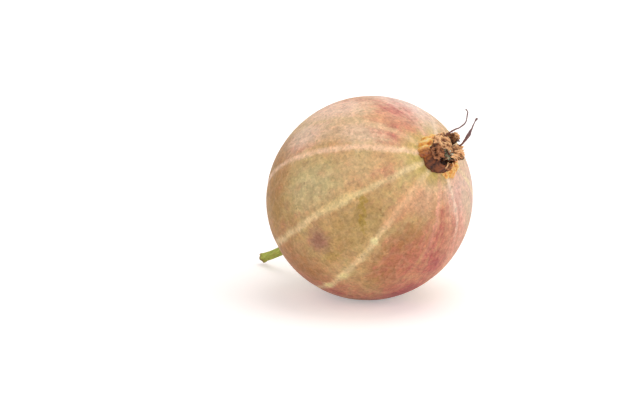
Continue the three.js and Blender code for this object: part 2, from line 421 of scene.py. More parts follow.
def makeBerry():
    s = berryShape
    pick(None)
    bpy.ops.mesh.primitive_uv_sphere_add(
        segments=s["segments"], ring_count=s["rings"], radius=equatorRadius * mm, location=(0, 0, 0))
    berry = bpy.context.object
    berry.name = "berrySkin"
    editAll()
    bpy.ops.transform.resize(value=(1, 1, poleRadius / equatorRadius))
    bpy.ops.object.mode_set(mode="OBJECT")

    def swellEnds(co):
        end = "flower" if co.z > 0 else "stalk"
        radius = math.hypot(co.x, co.y)
        rise = fruitShape[end + "Rise"] * math.exp(-(radius / fruitShape[end + "RiseRadius"]) ** 2)
        co.z += math.copysign(rise, co.z)
        slow = noise.noise(co / s["unevenSize"] + s["unevenSeed"])
        return co * (1 + s["unevenness"] * (slow - 0.5) / equatorRadius)

    reshape(berry, swellEnds)

    group = berry.vertex_groups.new(name="veins")
    for vertex in berry.data.vertices:
        place = vertex.co / mm
        radius = math.hypot(place.x, place.y)
        bearing = math.atan2(place.y, place.x)
        weight = 0
        for vein in veins.values():
            angle = math.radians(vein["angle"] + vein["turn"] * place.z / poleRadius)
            off = (bearing - angle + math.pi) % (2 * math.pi) - math.pi
            weight = max(weight, vein["show"] * math.exp(-(off * radius / vein["width"]) ** 2))
        group.add([vertex.index], weight * smooth(*s["veinEnds"], radius), "REPLACE")
    applyModifier(berry, "DISPLACE", strength=-s["veinDepth"] * mm, mid_level=0, vertex_group="veins")

    pebbles = bpy.data.textures.new("pebbles", "CLOUDS")
    pebbles.noise_scale = s["pebbleSize"] * mm
    applyModifier(berry, "DISPLACE", texture=pebbles, strength=s["pebble"] * mm, mid_level=0.9)
    settle(berry, fruitMatrix)

    # the small spot that it rests on
    pick(berry)
    editAll()
    bpy.ops.mesh.bisect(plane_co=(0, 0, 0), plane_no=(0, 0, 1), use_fill=True, clear_inner=True,
                        threshold=0.001 * mm)
    bpy.ops.object.mode_set(mode="OBJECT")
    closeUp(berry)
    return berry


# Soft patches on the skin, each laid over the ones before it. "at" is the angle round the axis
# and the angle down from the flower, both in degrees; "size" is half the width and half the
# length in mm; "lean" turns the length away from the line to the flower.
groundPatches = {
    "sage side": {"at": (-102, 76), "size": (2.3, 3.8), "color": "#CCBA88", "show": 0.9},
    "pale shoulder": {"at": (-105, 46), "size": (1.7, 2.4), "color": "#D2AF80", "show": 0.7},
    "olive gore": {"at": (-68, 62), "size": (2.3, 5.2), "color": "#B6965E", "show": 0.85},
    "grey streaks": {"at": (-70, 104), "size": (1.4, 1.8), "color": "#B99F70", "show": 0.6},
    "brown gore": {"at": (-31, 62), "size": (2.5, 5.0), "color": "#A47044", "show": 0.9},
    "tan at the flower": {"at": (-38, 27), "size": (1.6, 1.6), "color": "#D0A282", "show": 0.7},
    "cream at the flower": {"at": (-14, 17), "size": (2.2, 1.0), "color": "#E8C2A0", "show": 0.8},
    # paler right edge: the skin's own colour, with painted highlight
    "pink limb with painted highlight": {"at": (26, 30), "size": (2.4, 3.6), "color": "#E6BAAA", "show": 0.9},
    "cream limb with painted highlight": {"at": (56, 46), "size": (3.8, 6.0), "color": "#DFBEAE", "show": 0.85},
    "rose limb": {"at": (21, 58), "size": (2.6, 4.0), "color": "#DDA08C", "show": 0.8},
    "green in the limb": {"at": (38, 40), "size": (1.2, 3.0), "color": "#CFB892", "show": 0.5},
    "warm crown": {"at": (-160, 30), "size": (2.8, 2.8), "color": "#CF9670", "show": 0.8},
    "tan crown": {"at": (-134, 44), "size": (1.6, 3.2), "color": "#E0BEA2", "show": 0.8},
    # paler at the top and upper side: the skin's own bloom, with painted highlight along the edge
    "bloom and painted highlight on top": {"at": (-200, 46), "size": (3.4, 4.6), "color": "#EBCFC2", "show": 0.9},
    "bloom and painted highlight at the side": {"at": (-160, 68), "size": (2.7, 4.2), "color": "#EEC8B0", "show": 0.9},
    "mauve side": {"at": (-137, 82), "size": (2.0, 3.6), "color": "#E6C6B0", "show": 0.8},
    "pale far side": {"at": (100, 70), "size": (5.0, 6.0), "color": "#CFBE92", "show": 0.6},
    # darker lower side and foot: the skin's own brown, with painted shade
    "brown limb with painted shade": {"at": (-134, 106), "size": (4.4, 3.2), "color": "#AE7A4C", "show": 0.74},
    "ochre foot with painted shade": {"at": (-106, 118), "size": (6.2, 5.6), "color": "#A47A3E", "show": 0.8},
    "brown foot with painted shade": {"at": (-62, 118), "size": (4.4, 4.2), "color": "#A87042", "show": 0.85},
    "side vein": {"at": (-77, 52), "size": (0.42, 1.6), "lean": 66, "color": "#A2852F",
     "show": 0.7},
    "side vein tip": {"at": (-67, 57), "size": (0.4, 1.3), "lean": 50, "color": "#A88A38",
     "show": 0.8},
    "dark speck": {"at": (-63, 46), "size": (0.3, 0.3), "color": "#8C6C40", "show": 0.8},
    "olive by the bruise": {"at": (-61, 86), "size": (0.7, 1.8), "color": "#AC9050", "show": 0.7},
    "bruise": {"at": (-73, 86), "size": (1.3, 1.25), "color": "#946256", "show": 0.8},
}
blushPatches = {
    "red gore": {"at": (-2, 46), "size": (2.8, 4.4), "amount": 0.56},
    "red line": {"at": (-10, 46), "size": (0.7, 3.6), "amount": 0.16},
    "magenta gore": {"at": (0, 78), "size": (3.2, 4.0), "amount": 0.56},
    "magenta foot": {"at": (-9, 98), "size": (3.0, 3.4), "amount": 0.7},
    "red speckles": {"at": (-24, 66), "size": (1.7, 4.0), "amount": 0.42},
    "red stripe": {"at": (-37, 70), "size": (0.7, 2.8), "amount": 0.4},
    "pink foot": {"at": (-38, 104), "size": (2.6, 2.8), "amount": 0.5},
    "flecked gore": {"at": (-44, 50), "size": (1.0, 2.6), "amount": 0.2},
    "crown": {"at": (-162, 30), "size": (3.4, 2.6), "amount": 0.34},
    "side of the crown": {"at": (-171, 52), "size": (1.6, 3.4), "amount": 0.24},
    "crown flecks": {"at": (-142, 27), "size": (1.6, 0.9), "amount": 0.26},
    "pink top": {"at": (-184, 42), "size": (1.8, 3.0), "amount": 0.34},
    "vein fringe": {"at": (-91, 35), "size": (0.9, 2.2), "amount": 0.3},
    "low fringe": {"at": (-89, 96), "size": (0.7, 2.4), "amount": 0.2},
    "upper fringe": {"at": (-127, 84), "size": (1.0, 2.2), "amount": 0.26},
    "lower fringe": {"at": (-56, 40), "size": (0.9, 2.6), "amount": 0.24},
    "back": {"at": (168, 88), "size": (5.0, 6.0), "amount": 0.5},
    "far gore": {"at": (76, 108), "size": (3.0, 5.0), "amount": 0.4},
    "under": {"at": (-30, 132), "size": (5.0, 4.0), "amount": 0.6},
}
flowerPatches = {
    "halo": {"at": (-75, 6), "size": (2.8, 2.2), "color": "#C6B060", "show": 0.85},
}
veinPatches = {
    "pink lower vein": {"at": (-55, 36), "size": (0.8, 3.2), "color": "#E3A981", "show": 0.55},
    "first wart": {"at": (-53, 61), "size": (0.46, 0.46), "color": "#EBDFA6", "show": 0.85},
    "second wart": {"at": (-47, 91), "size": (0.45, 0.7), "color": "#E9DB9E", "show": 0.85},
    "third wart": {"at": (-46, 107), "size": (0.45, 0.8), "color": "#E9DB9E", "show": 0.9},
    "yellow main vein": {"at": (-86, 62), "size": (0.55, 3.4), "color": "#E6D292", "show": 0.5},
}
skinLook = {
    "green": "#C6AE76",
    "tan": "#CFA574",
    "blushPale": "#CC7E6C",
    "blushDeep": "#A8424C",
    # layers, as layOver takes them
    "net": ((0.16, 0.02), 0.08, "#E2CFA6"),
    "stalkEnd": ((-8.5, -10.4), 0.6, "#A98748"),  # along the axis, from the fruit's middle
    "freckles": ((0.2, 0.06), 0.4, "#85653F"),
    # cloudy patterns: the size of their clouds, their detail and their roughness
    "clouds": {
        "drift": (3.2, 2.0, 0.5),
        "ragged": (0.5, 4.0, 0.7),
        "ground": (4.0, 5.0, 0.65),
        "mottle": (0.9, 3.0, 0.55),
        "broken": (1.1, 2.0, 0.5),
        "grain": (0.24, 2.0, 0.6),
    },
    # how far each pattern pushes the place that the next ones are read at
    "wander": [("drift", 0.7), ("ragged", 0.6), ("ragged", 1.5)],
    "streakSize": 0.55,
    "streakLength": 4,  # times as long as they are wide
    "netSize": 1.6,
    "coarseSize": 0.7,
    "cellSize": 0.5,
    "freckleSpacing": 0.85,
    "veinFade": 14,  # degrees before and after "until"
}


def skinPoint(angle, down):
    a, d = math.radians(angle), math.radians(down)
    ring = equatorRadius * math.sin(d)
    return Vector((ring * math.cos(a), ring * math.sin(a), poleRadius * math.cos(d)))


def patchMask(tree, patch, place, share):
    # an oval patch on the skin: its full share in the middle, fading out past its edge
    angle, down = patch["at"]
    width, length = patch["size"]
    turned = (Matrix.Rotation(math.radians(angle), 3, "Z") @ Matrix.Rotation(math.radians(down), 3, "Y")
              @ Matrix.Rotation(math.radians(patch.get("lean", 0)), 3, "Z")).to_euler()
    oval = addNode(tree, "Mapping", {
        "vector_type": "TEXTURE", "Location": skinPoint(angle, down), "Rotation": turned,
        "Scale": (length, width, 4.0)}, {"Vector": place})
    reach = addNode(tree, "VectorMath", {"operation": "LENGTH"}, {0: oval})
    return addNode(tree, "MapRange", {**softEnds, "From Min": 1.4, "From Max": 0.3, "To Max": share},
                   {"Value": reach})


def paintPatches(tree, color, patches, place):
    # each patch's own colour laid over what is under it
    for patch in patches.values():
        mask = patchMask(tree, patch, place, patch["show"])
        color = addNode(tree, "Mix", {"data_type": "RGBA", 7: patch["color"]}, {0: mask, 6: color})
    return color


def veinMask(tree, vein, along, bearing, radius):
    # a soft line from end to end of the fruit; along, bearing and radius say where the skin is
    turn = math.radians(vein["turn"]) / poleRadius
    off = addNode(tree, "Math", {"operation": "MULTIPLY_ADD", 1: -turn}, {0: along, 2: bearing})
    off = addNode(tree, "Math", {"operation": "SUBTRACT", 1: math.radians(vein["angle"])}, {0: off})
    off = addNode(tree, "Math", {"operation": "WRAP", 1: math.pi, 2: -math.pi}, {0: off})
    off = addNode(tree, "Math", {"operation": "ABSOLUTE"}, {0: off})
    off = addNode(tree, "Math", {"operation": "MULTIPLY"}, {0: off, 1: radius})
    wide, narrow = vein["width"] * 0.9, vein["width"] * 0.1
    line = addNode(tree, "MapRange", {
        **softEnds, "From Min": wide, "From Max": narrow, "To Max": vein["show"]}, {"Value": off})
    if "until" in vein:
        low, high = [poleRadius * math.cos(math.radians(vein["until"] + skinLook["veinFade"] * side))
                     for side in (1, -1)]
        fade = addNode(tree, "MapRange", {**softEnds, "From Min": low, "From Max": high},
                       {"Value": along})
        line = addNode(tree, "Math", {"operation": "MULTIPLY"}, {0: line, 1: fade})
    return line


def makeBerrySkin():
    # Thin taut fruit skin over clear flesh, with a faint waxy bloom: light sinks in a little, the
    # highlights are broad and dull, and the edge of the fruit looks powdery.
    look = skinLook
    material, tree = newMaterial("waxy berry skin")
    fruit = ownSpace(tree, fruitMatrix)
    clouds = {}
    for name, (size, detail, roughness) in look["clouds"].items():
        clouds[name] = addNode(tree, "TexNoise", {
            "Scale": 1 / size, "Detail": detail, "Roughness": roughness}, {"Vector": fruit})

    # places that wander off the true one, for the ragged edges of all that follows the fruit's shape
    places = [fruit]
    for name, reach in look["wander"]:
        push = addNode(tree, "VectorMath", {"operation": "SUBTRACT", 1: (0.5, 0.5, 0.5)},
                       {0: clouds[name].outputs["Color"]})
        moved = addNode(tree, "VectorMath", {"operation": "MULTIPLY_ADD", 1: (reach, reach, reach)},
                        {0: push, 2: places[-1]})
        places.append(moved)
    near, far = places[-2:]

    parts = addNode(tree, "SeparateXYZ", None, {0: near})
    along = parts.outputs[2]
    flat = addNode(tree, "CombineXYZ", None, {0: parts.outputs[0], 1: parts.outputs[1]})
    radius = addNode(tree, "VectorMath", {"operation": "LENGTH"}, {0: flat})
    bearing = addNode(tree, "Math", {"operation": "ARCTAN2"}, {0: parts.outputs[1], 1: parts.outputs[0]})

    # streaks from stalk to flower: noise read on a long sleeve round the axis
    around = addNode(tree, "VectorMath", {"operation": "NORMALIZE"}, {0: flat})
    around = addNode(tree, "VectorMath", {"operation": "SCALE", "Scale": equatorRadius}, {0: around})
    upward = addNode(tree, "Math", {"operation": "MULTIPLY", 1: 1 / look["streakLength"]}, {0: along})
    upward = addNode(tree, "CombineXYZ", None, {2: upward})
    sleeve = addNode(tree, "VectorMath", {"operation": "ADD"}, {0: around, 1: upward})
    streaks = addNode(tree, "TexNoise", {
        "Scale": 1 / look["streakSize"], "Detail": 3.0, "Roughness": 0.55}, {"Vector": sleeve})

    # ground colour: green and tan in clouds, then the patches
    tanShare = addNode(tree, "MapRange", {**softEnds, "From Min": 0.38, "From Max": 0.6},
                       {"Value": clouds["ground"]})
    ground = addNode(tree, "Mix", {"data_type": "RGBA", 6: look["green"], 7: look["tan"]}, {0: tanShare})
    color = paintPatches(tree, ground, groundPatches, far)

    # red pigment: the patches say how much there is, streaks and mottles break it into flecks
    pigment = addNode(tree, "MapRange", {
        "From Min": 0.3, "From Max": 0.7, "To Min": -0.1, "To Max": 0.22}, {"Value": streaks})
    mottle = addNode(tree, "MapRange", {
        "From Min": 0.3, "From Max": 0.7, "To Min": -0.14, "To Max": 0.14}, {"Value": clouds["mottle"]})
    amounts = [patchMask(tree, patch, far, patch["amount"]) for patch in blushPatches.values()]
    for amount in amounts + [mottle]:
        pigment = addNode(tree, "Math", {"operation": "ADD"}, {0: pigment, 1: amount})
    depth = addNode(tree, "MapRange", {**softEnds, "From Min": 0.35, "From Max": 1.25},
                    {"Value": pigment})
    blushColor = addNode(tree, "Mix", {"data_type": "RGBA", 6: look["blushPale"], 7: look["blushDeep"]},
                         {0: depth})
    blush = addNode(tree, "MapRange", {**softEnds, "From Min": -0.05, "From Max": 1.0, "To Max": 0.95},
                    {"Value": pigment})
    color = addNode(tree, "Mix", {"data_type": "RGBA"}, {0: blush, 6: color, 7: blushColor})

    # fine net of small veins
    net = addNode(tree, "TexVoronoi", {"feature": "DISTANCE_TO_EDGE", "Scale": 1 / look["netSize"]},
                  {"Vector": near})
    color = layOver(tree, color, net, look["net"])

    # yellow-green halo at the flower, mostly to one side of it, and ochre at the stalk
    color = paintPatches(tree, color, flowerPatches, near)
    color = layOver(tree, color, along, look["stalkEnd"])

    # main veins, fainter here and there
    broken = addNode(tree, "MapRange", {"From Min": 0.36, "From Max": 0.56, "To Min": 0.6},
                     {"Value": clouds["broken"]})
    for vein in veins.values():
        line = veinMask(tree, vein, along, bearing, radius)
        line = addNode(tree, "Math", {"operation": "MULTIPLY"}, {0: line, 1: broken})
        color = addNode(tree, "Mix", {"data_type": "RGBA", 7: vein["color"]}, {0: line, 6: color})
    color = paintPatches(tree, color, veinPatches, near)

    # light and dark: fine grain, mottles and cells
    grain = clouds["grain"]
    coarse = addNode(tree, "TexNoise", {
        "Scale": 1 / look["coarseSize"], "Detail": 2.0, "Roughness": 0.5}, {"Vector": far})
    cells = addNode(tree, "TexVoronoi", {"Scale": 1 / look["cellSize"]}, {"Vector": near})
    shades = [
        (grain, {"From Min": 0.3, "From Max": 0.7, "To Min": 0.86, "To Max": 1.13}),
        (coarse, {"From Min": 0.3, "From Max": 0.7, "To Min": 0.83, "To Max": 1.17}),
        (cells, {"From Min": 0.1, "From Max": 0.7, "To Min": 0.94, "To Max": 1.06}),
    ]
    for pattern, limits in shades:
        shade = addNode(tree, "MapRange", limits, {"Value": pattern})
        color = addNode(tree, "VectorMath", {"operation": "SCALE"}, {0: color, "Scale": shade})

    # small brown freckles
    dots = addNode(tree, "TexVoronoi", {"Scale": 1 / look["freckleSpacing"]}, {"Vector": near})
    color = layOver(tree, color, dots, look["freckles"])

    addSurface(tree, color, grain, (0.3, 0.02), {
        "Roughness": 0.55, "IOR": 1.4, "Specular IOR Level": 0.24,
        "Subsurface Weight": 0.2, "Subsurface Radius": (1.0, 0.45, 0.25), "Subsurface Scale": 0.8 * mm,
        "Sheen Weight": 0.06, "Sheen Roughness": 0.5, "Sheen Tint": "#F4E4E6"})
    return material


stalkShape = {
    "length": 7.2,
    "footRadius": 1.0,
    "radius": 0.43,
    "endRadius": 0.51,
    # rings where it flares onto the fruit and where it broke off: share of the radius, height
    "foot": [(1.0, 0.3), (0.95, 0.12), (0.72, -0.1)],
    "end": [(1.0, 0.35), (1.04, 0.08), (0.9, 0), (0.62, 0.05), (0.3, 0.16)],
    "flare": 0.45,  # height of the foot, below which the stalk is plain
    "plainRings": 11,
    "sides": 30,
    "rise": 0.62,  # how far the free end bends up and to the side
    "side": 0.5,
    "ribs": 5,
    "ribDepth": 0.05,
    "knotDepth": 0.05,
    "tornDepth": 0.12,
}
stalkLook = {
    "dark": "#8A9422",
    "pale": "#BCC050",
    "blotch": "#94703A",
    "dry": "#8A6238",
    "grainSize": 0.22,
    "blotchSize": 0.9,
}


def makeStalk():
    # drawn downwards from the fruit's stalk end, then bent
    s = stalkShape
    start = -stalkSeat
    end = start - s["length"]
    rings = [(s["footRadius"] * wide, start + up) for wide, up in s["foot"]]
    rings.append((s["radius"] * 1.15, start - s["flare"]))
    for i in range(1, s["plainRings"] + 1):
        rings.append((s["radius"], start - s["flare"] - i * (s["length"] - 1.0) / s["plainRings"]))
    rings += [(s["endRadius"] * wide, end + up) for wide, up in s["end"]]
    stalk = stackRings("greenStalk", s["sides"], rings)

    def grow(co):
        share = min(1, max(0, (-co.z - stalkSeat) / s["length"]))
        bearing = math.atan2(co.y, co.x)
        rib = s["ribDepth"] * math.cos(s["ribs"] * bearing + 1.6 * share) * smooth(0, 0.12, share)
        knots = s["knotDepth"] * noise.noise(Vector((co.x, co.y, co.z * 0.6)) * 1.7)
        wide = 1 + (rib + knots * smooth(0, 0.2, share)) / s["radius"]
        torn = noise.noise(Vector((math.cos(bearing), math.sin(bearing), 4.2)) * 2.1)
        return Vector((co.x * wide - s["rise"] * share ** 2, co.y * wide + s["side"] * share ** 2,
                       co.z + s["tornDepth"] * torn * smooth(0.93, 1, share)))

    reshape(stalk, grow)
    applyModifier(stalk, "SUBSURF", levels=2, render_levels=2)
    settle(stalk, fruitMatrix)
    return stalk


def makeStalkBark():
    # Young woody stem, still green: pale ridges, a fine grain along it, and a dry brown break.
    look = stalkLook
    material, tree = newMaterial("green fruit stalk")
    fruit = ownSpace(tree, fruitMatrix)
    long = addNode(tree, "Mapping", {"Scale": (1, 1, 0.15)}, {"Vector": fruit})
    grain = addNode(tree, "TexNoise", {"Scale": 1 / look["grainSize"], "Detail": 4.0, "Roughness": 0.7},
                    {"Vector": long})
    share = addNode(tree, "MapRange", {"From Min": 0.3, "From Max": 0.68}, {"Value": grain})
    color = addNode(tree, "Mix", {"data_type": "RGBA", 6: look["dark"], 7: look["pale"]}, {0: share})
    blotch = addNode(tree, "TexNoise", {"Scale": 1 / look["blotchSize"], "Detail": 3.0},
                     {"Vector": fruit})
    blotch = addNode(tree, "MapRange", {"From Min": 0.55, "From Max": 0.72, "To Max": 0.5},
                     {"Value": blotch})
    color = addNode(tree, "Mix", {"data_type": "RGBA", 7: look["blotch"]}, {0: blotch, 6: color})
    height = addNode(tree, "SeparateXYZ", None, {0: fruit})
    height = addNode(tree, "Math", {"operation": "ADD"}, {0: height.outputs[2], 1: grain})
    end = -stalkSeat - stalkShape["length"]
    color = layOver(tree, color, height, ((end + 1.1, end + 0.4), 1.0, look["dry"]))
    addSurface(tree, color, grain, (0.5, 0.03), {
        "Roughness": 0.55, "Subsurface Weight": 0.15, "Subsurface Radius": (0.5, 0.8, 0.2),
        "Subsurface Scale": 0.3 * mm})
    return material


collarShape = {
    "segments": 180,
    "inner": 1.5,
    "rows": 14,
    "rowStep": 0.05,
    # angle round the flower, height of its rim and radius of its foot there
    "wall": [(-22, 0.34, 1.72), (2, 0.5, 2.15), (22, 0.62, 2.46), (46, 0.85, 2.44), (80, 0.95, 2.2),
             (120, 1.0, 2.05), (160, 1.15, 2.08), (190, 1.3, 2.18), (214, 1.42, 2.3), (238, 1.38, 2.38),
             (262, 1.05, 2.25)],
    "raggedFoot": (0.12, 0.09),  # wide and narrow notches, as shares of the size
    "raggedCrest": (0.22, 0.16),
    "thickness": 0.09,
    "folds": 17,
    "foldDepth": 0.05,
    "crumple": 0.085,
    "overSkin": 0.03,
    "burntFrom": (234, 258),  # angles over which it turns brown towards the last end
}


def makeCollar():
    # a thin dried wall from the rim of the tube out and down to the skin, open on one side
    s = collarShape
    pick(None)
    bpy.ops.mesh.primitive_circle_add(vertices=s["segments"], radius=s["inner"] * mm,
                                      fill_type="NOTHING", location=(0, 0, 0))
    collar = bpy.context.object
    collar.name = "amberCollar"
    editAll()
    for i in range(s["rows"]):
        scale = (s["inner"] + s["rowStep"] * (i + 1)) / (s["inner"] + s["rowStep"] * i)
        bpy.ops.mesh.extrude_edges_move(TRANSFORM_OT_translate={"value": (0, 0, 0)})
        bpy.ops.transform.resize(value=(scale, scale, 1))
    bpy.ops.mesh.select_all(action="DESELECT")
    bpy.ops.object.mode_set(mode="OBJECT")
    first, last = s["wall"][0][0], s["wall"][-1][0]

    def angleOf(co):
        # counted on from the wall's first end
        return (math.degrees(math.atan2(co.y, co.x)) - first) % 360 + first

    for face in collar.data.polygons:
        face.select = angleOf(face.center) > last
    bpy.ops.object.mode_set(mode="EDIT")
    bpy.ops.mesh.select_mode(type="FACE")
    bpy.ops.mesh.delete(type="FACE")
    bpy.ops.mesh.select_mode(type="VERT")
    bpy.ops.object.mode_set(mode="OBJECT")

    across, relief, burnt = vertexNumbers(collar, "across", "relief", "burnt")
    for vertex in collar.data.vertices:
        co = vertex.co / mm
        angle = min(last - 0.01, angleOf(co))
        share = min(1, max(0, (math.hypot(co.x, co.y) - s["inner"]) / (s["rows"] * s["rowStep"])))
        k = max(i for i, part in enumerate(s["wall"]) if part[0] <= angle)
        fromPart, toPart = s["wall"][k], s["wall"][k + 1]
        t = smooth(fromPart[0], toPart[0], angle)
        height = fromPart[1] + (toPart[1] - fromPart[1]) * t
        foot = fromPart[2] + (toPart[2] - fromPart[2]) * t
        turn = Vector((math.cos(math.radians(angle)), math.sin(math.radians(angle)), 0))
        wide, narrow = s["raggedFoot"]
        foot *= 1 + wide * noise.noise(turn * 5.5 + Vector((0, 0, 2.7))) + narrow * noise.noise(turn * 15)
        wide, narrow = s["raggedCrest"]
        height *= 1 + wide * noise.noise(turn * 4 + Vector((5, 0, 0))) + narrow * noise.noise(turn * 12)
        bend = share * math.pi / 2
        radius = s["inner"] + (foot - s["inner"]) * math.sin(bend)
        up = height * max(0, math.cos(bend)) ** 0.8
        fold = math.sin(math.radians(angle) * s["folds"] + 3 * noise.noise(turn * 2.2)) * 0.5
        fold += 1.2 * noise.noise(turn * 9 + Vector((0, 0, share * 0.9)))
        spot = turn * 4.2 + Vector((0, 0, share * 4.5))
        crumple = 0.7 - 2.6 * abs(noise.noise(spot)) + 0.8 * noise.noise(spot * 2.6)
        lift = s["foldDepth"] * fold + s["crumple"] * (crumple - 0.3) * smooth(0, 0.12, share)
        outward = turn * math.sin(bend) + Vector((0, 0, math.cos(bend)))
        point = turn * radius + Vector((0, 0, up)) + outward * lift
        ground = flowerSkin(math.hypot(point.x, point.y)) + s["overSkin"]
        point.z = max(point.z + flowerSkin(radius) + s["overSkin"], ground)
        vertex.co = point * mm
        across[vertex.index].value = share
        relief[vertex.index].value = 0.3 * fold + 0.4 * crumple
        burnt[vertex.index].value = smooth(*s["burntFrom"], angle + 8 * noise.noise(turn * 20))
    collar.data.update()
    applyModifier(collar, "SOLIDIFY", thickness=s["thickness"] * mm, offset=1)
    applyModifier(collar, "SUBSURF", levels=1, render_levels=1)
    settle(collar, flowerMatrix)
    return collar


amberLook = {
    # from the folds' hollows, darker as painted shade, to their crests, paler as painted highlight
    "tonesWithPaintedShadeAndHighlight": [(0, "#D28436"), (0.25, "#F4A64A"), (0.6, "#FFC470"), (1, "#FEDC9C")],
    # layers, as layOver takes them: its torn edge on the skin, and where it meets the tube
    "rim": ((1.12, 1.26), 0.7, "#F2D4A0"),
    "root": ((0.44, 0.24), 0.55, "#EFC08A"),
    "burntDark": "#682E14",
    "burntPale": "#C87434",
    "cloudSize": 0.35,
}


def makeAmber():
    # Thin dried flower membrane, like amber parchment: light glows through it, its torn edge is paler,
    # its hollows carry painted shade and its crests painted highlight, and one end is scorched brown.
    look = amberLook
    material, tree = newMaterial("amber dried membrane")
    place = ownSpace(tree, Matrix())
    across, relief, burnt = [
        addNode(tree, "Attribute", {"attribute_name": name}).outputs["Fac"]
        for name in ("across", "relief", "burnt")]
    cloud = addNode(tree, "TexNoise", {"Scale": 1 / look["cloudSize"], "Detail": 5.0, "Roughness": 0.7},
                    {"Vector": place})
    # the folds' relief darkens the hollows and pales the crests: painted shade and painted highlight
    share = addNode(tree, "Math", {"operation": "MULTIPLY_ADD", 1: 0.6}, {0: relief, 2: cloud})
    share = addNode(tree, "MapRange", {"From Min": 0.3, "From Max": 0.9}, {"Value": share})
    color = addNode(tree, "ValToRGB", None, {0: share})
    stops = color.color_ramp.elements
    for position, tone in look["tonesWithPaintedShadeAndHighlight"][1:-1]:
        stops.new(position)
    for stop, (position, tone) in zip(stops, look["tonesWithPaintedShadeAndHighlight"]):
        stop.color = hexColor(tone)
    edge = addNode(tree, "Math", {"operation": "MULTIPLY_ADD", 1: 0.5}, {0: cloud, 2: across})
    color = layOver(tree, color, edge, look["rim"])
    color = layOver(tree, color, edge, look["root"])
    # the scorched end is also darker in the hollows and paler on the crests: painted shade and highlight
    scorched = addNode(tree, "Mix", {"data_type": "RGBA", 6: look["burntDark"], 7: look["burntPale"]},
                       {0: share})
    color = addNode(tree, "Mix", {"data_type": "RGBA"}, {0: burnt, 6: color, 7: scorched})
    addSurface(tree, color, cloud, (0.4, 0.03), {
        "Roughness": 0.38, "Subsurface Weight": 0.5, "Subsurface Radius": (1.0, 0.5, 0.15),
        "Subsurface Scale": 0.25 * mm})
    return material


tubeShape = {
    "segments": 104,
    "wallRings": 12,
    "innerRings": 6,
    "foot": 1.45,
    "belly": 1.62,
    "mouth": 1.48,
    "height": 1.15,
    "wall": 0.2,
    "floor": 0.5,
    "bulgeAngle": -76,
    "bulgeHalf": 50,
    "bulgeAtFoot": 0.8,
    "bulgeAtMouth": 0.2,
    "tearAngle": 12,
    "tearHalf": 20,
    "tearDepth": 0.5,
    "furrowDepth": 0.13,
    "wrinkle": 0.07,
    "outside": (1.15, 1.35),  # distance from its middle over which the outer wall begins
}
tubeLook = {
    # colours of the furrows, darker as painted shade, and of the ridges,
    # on the dark side, the amber one and the rust one
    "sides": [("#2E1209", "#8E4F2C"), ("#8A4A20", "#D58A40"), ("#6C2C0E", "#CE7A2E")],
    # near black inside the cup: painted shade in the hollow
    "inside": ((1.36, 1.2), 0.9, "#20110F"),  # a layer, by the distance from the middle
    "grainSize": 0.16,
    "toAmber": (-0.34, 0.94, 0),  # where the last two face
    "toRust": (-0.75, -0.66, 0),
}


def angleFrom(angle, middle):
    # degrees from one bearing to another, the short way round
    return abs((angle - middle + 180) % 360 - 180)


